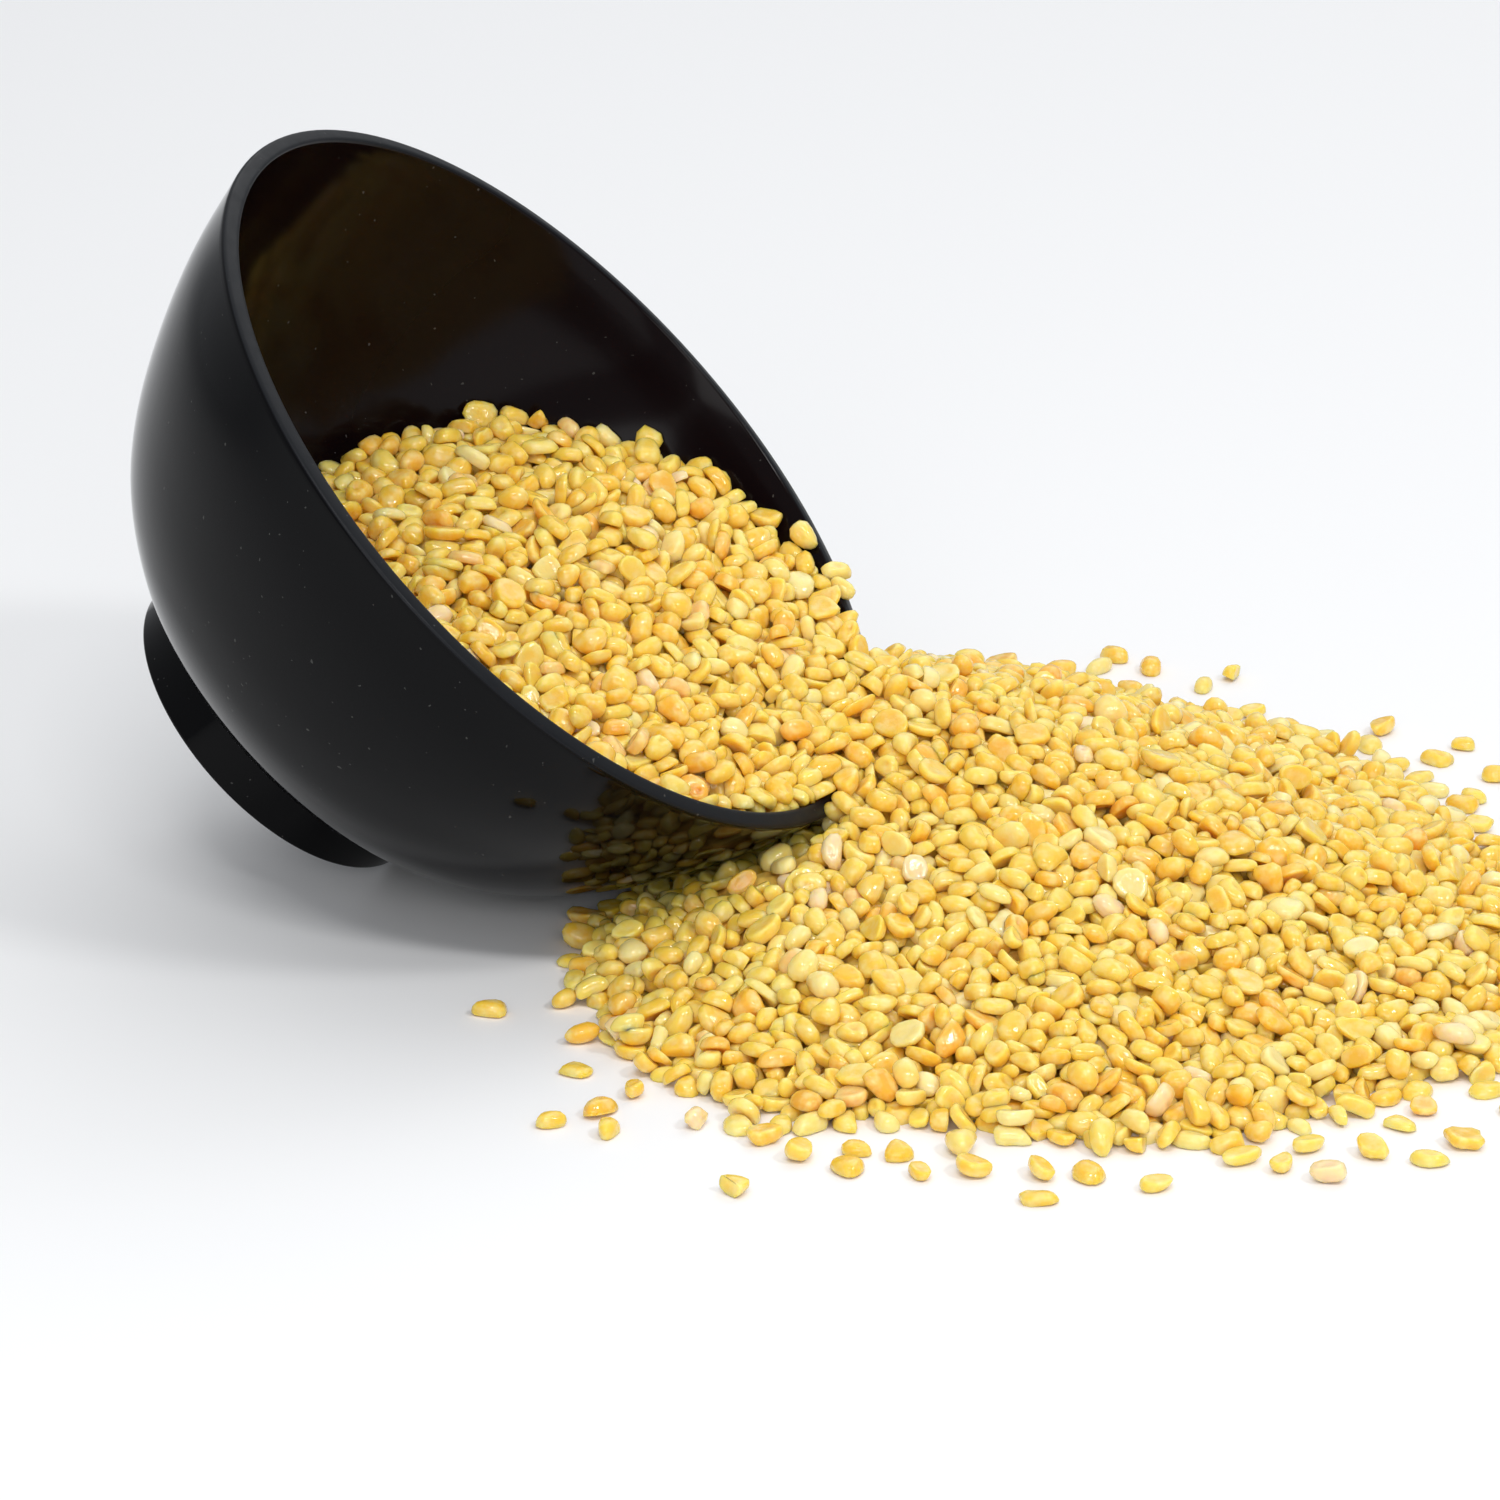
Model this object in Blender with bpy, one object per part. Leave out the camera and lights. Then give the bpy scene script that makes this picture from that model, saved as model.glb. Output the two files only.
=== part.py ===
"""A small black bowl tipped over, with split mung beans that fill it and run out over its rim.

Metres, +Z up, and the surface that it all lies on is z = 0. The origin is under the middle
of the spilled beans. The bowl leans towards +X, and the beans run out on that side.
"""

import math
import random

import bmesh
import bpy
from mathutils import Euler, Matrix, Vector
from mathutils.geometry import delaunay_2d_cdt

MM = 0.001
GAP = 0.3 * MM

# The bowl, upright, from the bottom of its foot
RIM_RADIUS = 60.0 * MM
BOWL_HEIGHT = 58.7 * MM
WALL = 2.6 * MM
FOOT_RADIUS = 25.1 * MM
FOOT_HEIGHT = 7.1 * MM
FOOT_EDGE = 0.4 * MM
RECESS_RADIUS = 21.0 * MM
RECESS_DEPTH = 3.0 * MM
FLOOR_THICKNESS = 3.4 * MM
# Share of the height from foot to rim, and the outer radius there
BODY = ((0.0, 24.7 * MM), (0.12, 36.5 * MM), (0.30, 45.7 * MM),
        (0.55, 52.7 * MM), (0.80, 57.5 * MM), (1.0, RIM_RADIUS))
BOWL_SEGMENTS = 48
BODY_STEPS = 8
BODY_CROWDING = 1.5
LIP_STEPS = 4
FLOOR_SHARE = 0.7
SHARP_ANGLE = math.radians(40)

# How the bowl lies: the lean of its axis, the way it leans, and the middle of its foot
LEAN = math.radians(45.1)
HEADING = math.radians(-15.95)
FOOT_X = -112.0 * MM
FOOT_Y = 24.0 * MM

# The surface of the beans left in the bowl, about a point over its low side
LEVEL_X = -52.0 * MM
LEVEL_Y = 24.0 * MM
LEVEL_HEIGHT = 34.6 * MM
SLOPE_X = -0.354
SLOPE_Y = 0.230
ROUNDING = -4.47
CONTENTS_X = -77.0 * MM
CONTENTS_Y = 14.0 * MM
CONTENTS_RADIUS = 72.0 * MM
CONTENTS_FLOOR = -4.0 * MM
CONTENTS_OUTLINE_STEPS = 42
ABOVE_RIM = 12.0 * MM

# The beans that ran out: a low mound about its highest point, just past the rim
PEAK_X = -30.0 * MM
PEAK_Y = 26.0 * MM
PEAK_HEIGHT = 27.0 * MM
EDGE_HEIGHT = 2.4 * MM
MOUND_POWER = 1.25
# Bearing from the peak in degrees, and how far the mound reaches that way
REACH = ((0, 82), (20, 74), (40, 65), (60, 62), (76, 62), (92, 62), (112, 58), (140, 44),
         (170, 34), (200, 34), (225, 51), (240, 70), (252, 91), (262, 103), (272, 101),
         (284, 114), (296, 116), (308, 116), (320, 118), (333, 114), (343, 97), (352, 86))
OUTLINE_STEPS = 84
OUTLINE_JITTER = 1.6 * MM

# One split bean: its flat face and its full edge, as shares of its half width and height
BEAN_LENGTH = 4.8 * MM
BEAN_WIDTH = 3.5 * MM
BEAN_THICKNESS = 2.1 * MM
BEAN_RINGS = ((0.84, -1.0), (1.0, -0.25))
BEAN_SIDES = 7
BEAN_TILT = math.radians(28)
SMALLEST_BEAN = 0.88
LARGEST_BEAN = 1.12

# How beans and bumps are spread over the core
BUMP_SPACING = 5.0 * MM
BUMP_JITTER = 1.0 * MM
BUMP_HEIGHT = 0.7 * MM
EDGE_ROOM = 3.0 * MM
CORE_DEPTH = 1.0 * MM
SURFACE_REACH = 216.0 * MM
BEAN_SPACING = 13.0 * MM
BEAN_JITTER = 3.2 * MM
SUNK_DEPTH = 0.7 * MM
LAST_SHARE = 0.97
FRINGE_SPACING = 9.5 * MM
FRINGE_INNERMOST = -0.5 * MM
FRINGE_OUTERMOST = 1.7 * MM
LYING_HEIGHT = 1.28 * MM
LYING_GAP = 0.1 * MM
SEED = 11

BLACK = (0.006, 0.006, 0.007)
GOLDEN = (0.80, 0.47, 0.09)


def clear_scene():
    for thing in list(bpy.data.objects):
        bpy.data.objects.remove(thing, do_unlink=True)


def material(name, colour, roughness):
    made = bpy.data.materials.new(name)
    made.use_nodes = True
    shader = made.node_tree.nodes["Principled BSDF"]
    shader.inputs["Base Color"].default_value = (*colour, 1.0)
    shader.inputs["Roughness"].default_value = roughness
    shader.inputs["Metallic"].default_value = 0.0
    return made


def new_object(name, bm):
    """Close the mesh off with its faces out and put it in the scene."""
    bmesh.ops.recalc_face_normals(bm, faces=bm.faces)
    mesh = bpy.data.meshes.new(name)
    bm.to_mesh(mesh)
    bm.free()
    made = bpy.data.objects.new(name, mesh)
    bpy.context.scene.collection.objects.link(made)
    return made


def smooth_curve(points):
    """Return a smooth function through the points that never overshoots them."""
    xs = [point[0] for point in points]
    ys = [point[1] for point in points]
    steps = [b - a for a, b in zip(xs, xs[1:])]
    rises = [(b - a) / step for a, b, step in zip(ys, ys[1:], steps)]
    slopes = [rises[0] * 1.5 - rises[1] * 0.5]
    for before, after in zip(rises, rises[1:]):
        turning = before * after <= 0.0
        slopes.append(0.0 if turning else 2.0 * before * after / (before + after))
    slopes.append(rises[-1])

    def value(x):
        at = max(i for i in range(len(steps)) if i == 0 or xs[i] <= x)
        t = (x - xs[at]) / steps[at]
        rise = ys[at + 1] - ys[at]
        bend = steps[at] * (slopes[at] * (1 - t) - slopes[at + 1] * t)
        return ys[at] + rise * t * t * (3 - 2 * t) + t * (1 - t) * bend

    return value


BODY_RADIUS = smooth_curve(BODY)


def body_point(share, offset):
    """A point of the wall: offset is how far it stands out from the outer face."""
    height = BOWL_HEIGHT - WALL / 2 - FOOT_HEIGHT
    step = 0.01
    low, high = max(share - step, 0.0), min(share + step, 1.0)
    along = Vector((BODY_RADIUS(high) - BODY_RADIUS(low), (high - low) * height)).normalized()
    outward = Vector((along.y, -along.x))
    return Vector((BODY_RADIUS(share), FOOT_HEIGHT + share * height)) + outward * offset


def shares():
    """Heights along the wall, closer together where it curves most, near the foot."""
    return [(i / BODY_STEPS) ** BODY_CROWDING for i in range(BODY_STEPS + 1)]


def inner_wall(offset, floor):
    """The wall's points above a floor, from the rim down."""
    points = [body_point(share, offset) for share in reversed(shares())]
    return [point for point in points if point.y > floor + WALL / 2]


def lip(gap):
    """The half round over the top of the wall."""
    outer, inner = body_point(1.0, gap), body_point(1.0, -WALL - gap)
    middle, arm = (outer + inner) / 2, (outer - inner) / 2
    rise = Vector((-arm.y, arm.x))
    turns = [math.pi * i / LIP_STEPS for i in range(1, LIP_STEPS)]
    return [middle + arm * math.cos(turn) + rise * math.sin(turn) for turn in turns]


def bowl_outline():
    """Half the bowl's section, as (radius, height), from the axis below to the axis inside."""
    floor = FOOT_HEIGHT + FLOOR_THICKNESS
    foot = [(0.0, RECESS_DEPTH), (RECESS_RADIUS - RECESS_DEPTH / 3, RECESS_DEPTH),
            (RECESS_RADIUS, 0.0), (FOOT_RADIUS - FOOT_EDGE, 0.0), (FOOT_RADIUS, FOOT_EDGE)]
    outer = [body_point(share, 0.0) for share in shares()]
    inner = inner_wall(-WALL, floor)
    base = [(inner[-1].x * FLOOR_SHARE, floor), (0.0, floor)]
    return foot + outer + lip(0.0) + inner + base


def clearance_outline():
    """The bowl's section with its gap on every side and its foot filled in."""
    floor = FOOT_HEIGHT + FLOOR_THICKNESS + GAP
    foot = [(0.0, -RIM_RADIUS), (FOOT_RADIUS + GAP, -RIM_RADIUS)]
    outer = [body_point(share, GAP) for share in shares()]
    inner = inner_wall(-WALL - GAP, floor)
    base = [(inner[-1].x * FLOOR_SHARE, floor), (0.0, floor)]
    return foot + outer + lip(GAP) + inner + base


def filling_outline():
    """The room inside the bowl out to the middle of its wall, and up past its rim."""
    floor = FOOT_HEIGHT + FLOOR_THICKNESS / 2
    wall = inner_wall(-WALL / 2, floor)
    top = BOWL_HEIGHT + ABOVE_RIM
    return [(0.0, top), (wall[0].x, top)] + wall + [(0.0, floor)]


def turned(name, outline):
    """Turn an outline that starts and ends on the axis round it, as one closed solid."""
    bm = bmesh.new()
    ends = [bm.verts.new((0.0, 0.0, height)) for _, height in (outline[0], outline[-1])]
    rings = []
    for step in range(BOWL_SEGMENTS):
        angle = 2 * math.pi * step / BOWL_SEGMENTS
        rings.append([bm.verts.new((radius * math.cos(angle), radius * math.sin(angle), height))
                      for radius, height in outline[1:-1]])
    for one, two in zip(rings, rings[1:] + rings[:1]):
        bm.faces.new((ends[0], one[0], two[0]))
        bm.faces.new((ends[1], two[-1], one[-1]))
        for i in range(len(one) - 1):
            bm.faces.new((one[i], one[i + 1], two[i + 1], two[i]))
    return new_object(name, bm)


def lift():
    """Height of the foot's middle when the leaning foot touches down."""
    return max(radius * math.sin(LEAN) - height * math.cos(LEAN)
               for radius, height in bowl_outline())


def lying():
    """Where the bowl lies and how it leans."""
    return Matrix.LocRotScale(Vector((FOOT_X, FOOT_Y, lift())), Euler((0.0, LEAN, HEADING)), None)


LYING = lying()


def lay_down(thing):
    thing.matrix_world = LYING


def contents_height(x, y):
    from_middle = x - LEVEL_X
    slope = SLOPE_X * from_middle + SLOPE_Y * (y - LEVEL_Y)
    return LEVEL_HEIGHT + slope + ROUNDING * from_middle * from_middle


def mound_reach(bearing):
    """Reach of the mound at a bearing in radians, smooth all the way round."""
    degrees = math.degrees(bearing) % 360.0
    wrapped = REACH + ((REACH[0][0] + 360, REACH[0][1]),)
    at = max(i for i in range(len(REACH)) if REACH[i][0] <= degrees)
    (low, near), (high, far) = wrapped[at], wrapped[at + 1]
    t = (degrees - low) / (high - low)
    return (near + (far - near) * t * t * (3 - 2 * t)) * MM


def mound_share(x, y):
    """How far out a point lies: 0 at the peak, 1 at the mound's edge."""
    away = Vector((x - PEAK_X, y - PEAK_Y))
    return away.length / mound_reach(math.atan2(away.y, away.x))


def mound_height(x, y):
    out = min(mound_share(x, y), 1.0)
    return EDGE_HEIGHT + (PEAK_HEIGHT - EDGE_HEIGHT) * (1.0 - out ** MOUND_POWER)


def lattice(reach, spacing):
    """Evenly spread points, each row moved over by half a step."""
    rows = int(reach / spacing) + 1
    for row in range(-rows, rows + 1):
        for column in range(-rows, rows + 1):
            yield (column + 0.5 * (row % 2)) * spacing, row * spacing * math.sqrt(0.75)


def bumpy_block(name, outline, height, floor, rng):
    """A closed block on a flat floor, whose top has a bump for each bean-sized patch."""
    middle = sum(outline, Vector((0.0, 0.0))) / len(outline)
    reach = max((point - middle).length for point in outline)
    points = list(outline)
    for x, y in lattice(reach, BUMP_SPACING):
        jitter = Vector((rng.uniform(-1, 1), rng.uniform(-1, 1))) * BUMP_JITTER
        point = middle + Vector((x, y)) + jitter
        if min((point - edge).length for edge in outline) > EDGE_ROOM:
            points.append(point)
    count = len(outline)
    edges = [(i, (i + 1) % count) for i in range(count)]
    flat, _, faces, *_ = delaunay_2d_cdt(points, edges, [], 1, 1e-6)
    bm = bmesh.new()
    top = []
    for i, point in enumerate(flat):
        bump = rng.uniform(-BUMP_HEIGHT, BUMP_HEIGHT) if i >= count else 0.0
        top.append((*point, height(*point) - CORE_DEPTH + bump))
    top = [bm.verts.new(point) for point in top]
    base = [bm.verts.new((*flat[i], floor)) for i in range(count)]
    for face in faces:
        bm.faces.new([top[i] for i in face])
    for i, j in edges:
        bm.faces.new((base[i], base[j], top[j], top[i]))
    bm.faces.new(base)
    loose = [vert for vert in bm.verts if not vert.link_faces]
    bmesh.ops.delete(bm, geom=loose, context="VERTS")
    return new_object(name, bm)


def mound_core(rng):
    outline = []
    for step in range(OUTLINE_STEPS):
        bearing = 2 * math.pi * step / OUTLINE_STEPS
        reach = mound_reach(bearing) + rng.uniform(-OUTLINE_JITTER, OUTLINE_JITTER)
        outline.append(Vector((PEAK_X + reach * math.cos(bearing),
                               PEAK_Y + reach * math.sin(bearing))))
    return bumpy_block("lentils", outline, mound_height, 0.0, rng)


def contents_core(rng):
    """The beans that stayed in the bowl, out to the middle of its wall."""
    outline = []
    for step in range(CONTENTS_OUTLINE_STEPS):
        bearing = 2 * math.pi * step / CONTENTS_OUTLINE_STEPS
        outline.append(Vector((CONTENTS_X + CONTENTS_RADIUS * math.cos(bearing),
                               CONTENTS_Y + CONTENTS_RADIUS * math.sin(bearing))))
    block = bumpy_block("contents", outline, contents_height, CONTENTS_FLOOR, rng)
    filling = turned("filling", filling_outline())
    lay_down(filling)
    combine(block, "INTERSECT", filling)
    return block


def in_bowl_terms(point):
    """A point's distance from the bowl's axis and its height along that axis."""
    local = LYING.inverted() @ point
    return math.hypot(local.x, local.y), local.z


def wall_side(point, margin):
    """Say if a point is inside the bowl, outside it, or nearer to its wall than the margin."""
    radius, height = in_bowl_terms(point)
    share = (height - FOOT_HEIGHT) / (BOWL_HEIGHT - FOOT_HEIGHT)
    if share > 1.0 + margin / BOWL_HEIGHT:
        return "outside"
    if share < 0.0:
        return "outside" if radius > FOOT_RADIUS + margin else "wall"
    share = min(share, 1.0)
    if radius > body_point(share, margin).x:
        return "outside"
    floor = FOOT_HEIGHT + FLOOR_THICKNESS
    if height > floor + margin and radius < body_point(share, -WALL - margin).x:
        return "inside"
    return "wall"


def surface_point(x, y):
    """The top of the beans over a place, or None where there are none to see."""
    inside = Vector((x, y, contents_height(x, y)))
    outside = Vector((x, y, mound_height(x, y)))
    if inside.z >= outside.z and wall_side(inside, GAP) == "inside":
        return inside
    covered = mound_share(x, y) > LAST_SHARE or wall_side(outside, GAP) != "outside"
    if covered or wall_side(inside, GAP) == "inside":
        return None
    return outside


def surface_normal(x, y):
    height = mound_height if surface_point(x, y).z == mound_height(x, y) else contents_height
    step = BEAN_LENGTH
    return Vector((height(x - step, y) - height(x + step, y),
                   height(x, y - step) - height(x, y + step), 2 * step)).normalized()


def bean_corners(pose, rng):
    """The corners of one split bean: its flat face, its full edge and its crown."""
    size = rng.uniform(SMALLEST_BEAN, LARGEST_BEAN)
    half = Vector((BEAN_LENGTH, BEAN_WIDTH, BEAN_THICKNESS)) * size / 2
    turned_pose = pose @ Matrix.Rotation(rng.uniform(0, 2 * math.pi), 4, "Z")
    corners = []
    for width, height in BEAN_RINGS:
        for side in range(BEAN_SIDES):
            angle = 2 * math.pi * side / BEAN_SIDES
            corner = Vector((half.x * width * math.cos(angle), half.y * width * math.sin(angle),
                             half.z * height))
            corners.append(turned_pose @ corner)
    corners.append(turned_pose @ Vector((0.0, 0.0, half.z)))
    return corners


def bean_solid(corners):
    bm = bmesh.new()
    verts = [bm.verts.new(corner) for corner in corners]
    low, wide, crown = verts[:BEAN_SIDES], verts[BEAN_SIDES:-1], verts[-1]
    bm.faces.new(low)
    for i in range(BEAN_SIDES):
        j = (i + 1) % BEAN_SIDES
        bm.faces.new((low[i], low[j], wide[j], wide[i]))
        bm.faces.new((wide[i], wide[j], crown))
    return new_object("bean", bm)


def fits(corners):
    """True if a bean is above the ground and all on one side of the bowl's wall."""
    sides = {wall_side(corner, GAP) for corner in corners}
    lowest = min(corner.z for corner in corners)
    return len(sides) == 1 and "wall" not in sides and lowest >= LYING_GAP / 2


def scattered_beans(rng):
    """Beans spread evenly over the whole surface, half sunk into the core."""
    made = []
    for x, y in lattice(SURFACE_REACH, BEAN_SPACING):
        x += rng.uniform(-BEAN_JITTER, BEAN_JITTER)
        y += rng.uniform(-BEAN_JITTER, BEAN_JITTER)
        place = surface_point(x, y)
        if place is None:
            continue
        normal = surface_normal(x, y)
        tilt = Euler((rng.uniform(-BEAN_TILT, BEAN_TILT), rng.uniform(-BEAN_TILT, BEAN_TILT), 0.0))
        leaning = Vector((0, 0, 1)).rotation_difference(normal).to_matrix() @ tilt.to_matrix()
        pose = Matrix.Translation(place - normal * SUNK_DEPTH) @ leaning.to_4x4()
        corners = bean_corners(pose, rng)
        if fits(corners):
            made.append(bean_solid(corners))
    return made


def fringe_beans(rng):
    """Beans lying flat along the mound's edge, half in it."""
    made = []
    bearing = 0.0
    while bearing < 2 * math.pi:
        reach = mound_reach(bearing)
        out = reach + rng.uniform(FRINGE_INNERMOST, FRINGE_OUTERMOST)
        x, y = PEAK_X + out * math.cos(bearing), PEAK_Y + out * math.sin(bearing)
        bearing += FRINGE_SPACING / reach
        place = Vector((x, y, LYING_HEIGHT))
        if wall_side(place, BEAN_LENGTH) == "outside":
            made.append(bean_solid(bean_corners(Matrix.Translation(place), rng)))
    return made


def apply_modifiers(thing):
    depsgraph = bpy.context.evaluated_depsgraph_get()
    mesh = bpy.data.meshes.new_from_object(thing.evaluated_get(depsgraph))
    thing.modifiers.clear()
    thing.data = mesh


def combine(thing, operation, other):
    """Apply a Boolean with one other object, which is then removed."""
    cut = thing.modifiers.new(operation.lower(), "BOOLEAN")
    cut.operation = operation
    cut.solver = "EXACT"
    cut.object = other
    apply_modifiers(thing)
    bpy.data.objects.remove(other, do_unlink=True)


def fuse(thing, others):
    """Join a collection of solids to one object and remove them."""
    group = bpy.data.collections.new("fused")
    bpy.context.scene.collection.children.link(group)
    for other in others:
        bpy.context.scene.collection.objects.unlink(other)
        group.objects.link(other)
    union = thing.modifiers.new("union", "BOOLEAN")
    union.operation = "UNION"
    union.solver = "EXACT"
    union.operand_type = "COLLECTION"
    union.collection = group
    apply_modifiers(thing)
    for other in others:
        bpy.data.objects.remove(other, do_unlink=True)
    bpy.data.collections.remove(group)


def keep_largest_body(thing):
    """Drop loose scraps, and fill any hollow that fusing has sealed."""
    bm = bmesh.new()
    bm.from_mesh(thing.data)
    left = set(bm.faces)
    bodies = []
    while left:
        body, edge = set(), [left.pop()]
        while edge:
            face = edge.pop()
            body.add(face)
            near = {other for side in face.edges for other in side.link_faces} & left
            left -= near
            edge.extend(near)
        bodies.append(body)
    bodies.sort(key=len, reverse=True)
    scraps = [face for body in bodies[1:] for face in body]
    bmesh.ops.delete(bm, geom=scraps, context="FACES")
    bm.to_mesh(thing.data)
    bm.free()


def make_bowl():
    bowl = turned("bowl", bowl_outline())
    lay_down(bowl)
    bowl.data.shade_smooth()
    bowl.data.set_sharp_from_angle(angle=SHARP_ANGLE)
    bowl.data.materials.append(material("black_plastic", BLACK, 0.22))
    return bowl


def make_lentils():
    rng = random.Random(SEED)
    heap = mound_core(rng)
    parts = [contents_core(rng)] + scattered_beans(rng) + fringe_beans(rng)
    fuse(heap, parts)
    clearance = turned("clearance", clearance_outline())
    lay_down(clearance)
    combine(heap, "DIFFERENCE", clearance)
    keep_largest_body(heap)
    heap.data.materials.clear()
    heap.data.materials.append(material("golden_beans", GOLDEN, 0.5))
    return heap


def main():
    clear_scene()
    make_bowl()
    make_lentils()


main()
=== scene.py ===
"""A small black bowl tipped over, with split mung beans that run out over its rim.

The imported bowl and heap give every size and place. The bowl is turned again with a fine
section, and the heap becomes some four thousand beans, settled over a lower core.
"""
import math

import bmesh
import bpy
import numpy as np
from bpy.props import FloatProperty, FloatVectorProperty, IntProperty, PointerProperty
from mathutils import Euler, Matrix, Quaternion, Vector
from mathutils.bvhtree import BVHTree


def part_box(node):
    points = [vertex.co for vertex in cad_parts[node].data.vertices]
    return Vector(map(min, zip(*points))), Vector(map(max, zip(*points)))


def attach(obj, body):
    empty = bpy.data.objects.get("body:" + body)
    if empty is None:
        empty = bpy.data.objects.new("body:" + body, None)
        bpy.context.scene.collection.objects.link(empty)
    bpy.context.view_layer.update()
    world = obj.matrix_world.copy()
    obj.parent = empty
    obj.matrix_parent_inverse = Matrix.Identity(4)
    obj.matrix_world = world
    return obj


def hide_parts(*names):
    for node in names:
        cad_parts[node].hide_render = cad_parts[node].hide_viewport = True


bl_info = {
    "name": "Tipped Bowl of Split Mung Beans",
    "version": (1, 0, 0),
    "blender": (4, 5, 0),
    "location": "3D View > Sidebar > Mung Beans",
    "description": "Builds a tipped black bowl and the split mung beans that run out of it",
    "category": "Object",
}

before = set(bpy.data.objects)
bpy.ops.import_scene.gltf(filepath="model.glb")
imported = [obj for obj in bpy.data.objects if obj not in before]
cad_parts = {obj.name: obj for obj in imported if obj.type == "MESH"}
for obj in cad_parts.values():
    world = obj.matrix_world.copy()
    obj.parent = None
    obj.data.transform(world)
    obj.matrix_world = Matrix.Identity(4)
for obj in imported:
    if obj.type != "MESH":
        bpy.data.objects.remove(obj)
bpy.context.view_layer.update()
BOWL_LOW, BOWL_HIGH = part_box("bowl")
HEAP_LOW, HEAP_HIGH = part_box("lentils")
PART_LOW = Vector(map(min, BOWL_LOW, HEAP_LOW))
PART_HIGH = Vector(map(max, BOWL_HIGH, HEAP_HIGH))
MM = 0.001

# The bowl's outer wall: share of the height from foot to rim, and radius there in mm
BODY = ((0.0, 24.7), (0.12, 36.5), (0.30, 45.7), (0.55, 52.7), (0.80, 57.5), (1.0, 60.0))
BOWL_STEPS = 160
BODY_STEPS = 44
BODY_CROWDING = 1.6
BODY_NEAR = 0.01
BODY_START = 0.02
EDGE_STEPS = 4
WAIST_SHARE = 0.03
RECESS_FILLET = 0.8 * MM
FOOT_INNER_FILLET = 0.4 * MM
FOOT_OUTER_FILLET = 0.5 * MM
WAIST_FILLET = 0.25 * MM
LIP_FILLET = 0.7 * MM
FLOOR_SHARE = 0.72
FLOOR_FILLET_SHARE = 0.28
SAME_POINT = 0.02 * MM
# A place is in the bowl inside a cone: its radius at the foot, and how fast it widens
CONE_FOOT = 10 * MM
CONE_SLOPE = 1.2

# How the layers of beans are spread before they settle, in mm
LAYERS = 4
LAYER_SPACING = 4.6
LAYER_DROP = 2.25
LAYER_PACKED = 1.28
LAYER_START = 1.15
LAYER_SLACK = 0.3
LAYER_JITTER = 0.14
# Under an overhanging wall the layers are closer, and stop short of it
CROWDED_LAYER = 1.9
OVERHANG_REACH = 60.0
OVERHANG_ROOM = 1.0
WALL_ROOM = 0.25
# Where rays start over the heap, and how far on they go past a face, in mm
ABOVE_HEAP = 10.0
ABOVE_FACE = 0.01
PAST_FACE = 0.002
# How far the core lies behind the heap's surface, as shifts in mm
CORE_SHIFTS = ((0.0, 0.0, -4.0), (2.5, 2.5, -2.5))
# How much higher the beans lie inside the bowl, and how far below its rim that is reached
RAISED = 2.6
RAISED_FROM = 3.0
RAISED_OVER = 16.0

# Loose beans beside the heap: how likely they are and how far apart they keep, in mm
STRAY_TRIES = 3600
STRAY_CHANCE = 0.75
STRAY_FADE = 10.0
STRAY_REACH = 34.0
STRAY_LEFT = 14.0
STRAY_FROM_HEAP = 3.2
STRAY_FROM_BOWL = 7.0
STRAY_APART = 4.9
STRAY_HEIGHT = 1.0

# How the beans are held and let go; lengths are in mm
HOLD_TRIES = 5
FLIPPED_SHARE = 0.38
ON_EDGE_SHARE = 0.12
ON_EDGE_TILT = 1.1
USUAL_TILT = 0.30
GROUND_GAP = 0.1
GROUND_REACH = 400.0
SETTLE_FRAMES = 20
SETTLE_SUBSTEPS = 8
SETTLE_ITERATIONS = 10
SETTLE_GRAVITY = 700.0
SETTLE_MARGIN = 0.02
SETTLE_DAMPING = (0.15, 0.35)
BEAN_FRICTION = 0.65
STILL_FRICTION = 0.85
# A bean that ends up further off the heap, lower or further out of the box is left out
LOST_BEYOND = 8.0
LOST_BELOW = 0.2
BOX_MARGIN = 11.0

# A bean's rings from crown to base: how wide and how high each is, as shares
SPLIT_RINGS = ((0.0, 1.0), (0.40, 0.96), (0.70, 0.84), (0.90, 0.58), (0.99, 0.24),
               (1.0, 0.0), (0.95, -0.16), (0.82, -0.23), (0.45, -0.19), (0.0, -0.165))
WHOLE_RINGS = ((0.0, 1.0), (0.40, 0.93), (0.72, 0.70), (0.92, 0.38), (1.0, 0.0),
               (0.985, -0.19), (0.92, -0.38), (0.72, -0.70), (0.40, -0.93), (0.0, -1.0))
EQUATOR = {"split": 5, "whole": 4, "broken": 5}
BEAN_SIDES = 12
HULL_SIDES = 8
# How far beans differ: usual difference, least and most
LENGTHS = (0.105, 0.76, 1.26)
RATIOS = (0.19, 1.08, 2.0)
THICKNESSES = (0.13, 0.70, 1.35)
WHOLE_LENGTH = 0.94
WHOLE_RATIO = 0.93
WHOLE_RATIO_LIMITS = (1.04, 1.6)
WHOLE_DEPTHS = (0.82, 0.98)
# A split bean's thickness over the height of its crown
THICKNESS_TO_CROWN = 1.22
# How far a bean's shape strays from a plain oval, as shares of its half sizes
SQUARENESS = (2.0, 3.0)
TAPER = 0.15
BEND = 0.17
BEND_MIDDLE = 0.4
SKEW = 0.12
WAVE = 0.036
TWIST = 0.10
DIMPLE_PLACES = (-0.55, 0.55)
DIMPLE_DEPTHS = (0.14, 0.22)
DIMPLE_BULGE = -0.14
DIMPLE_WIDTH = 0.12
CUTS = (0.05, 0.55)
CUT_LEAN = 0.25
HOLLOWS = (0.5, 1.6)

# Tones from 0 to 1 run through the beans' colours in turn
TONE_STOPS = (0.0, 0.24, 0.52, 0.78, 0.93, 0.955)
TONE_SHAPE = (2.0, 2.0)
TONE_MOST = 0.94
BLUSH_SHARE = 0.012
# Painted light and shade: tones shift paler out on the mound and deeper in the bowl, by this much
# over this reach in mm
PAINTED_LIGHT_SHIFT = 0.07
PAINTED_LIGHT_REACH = 80.0
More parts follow.
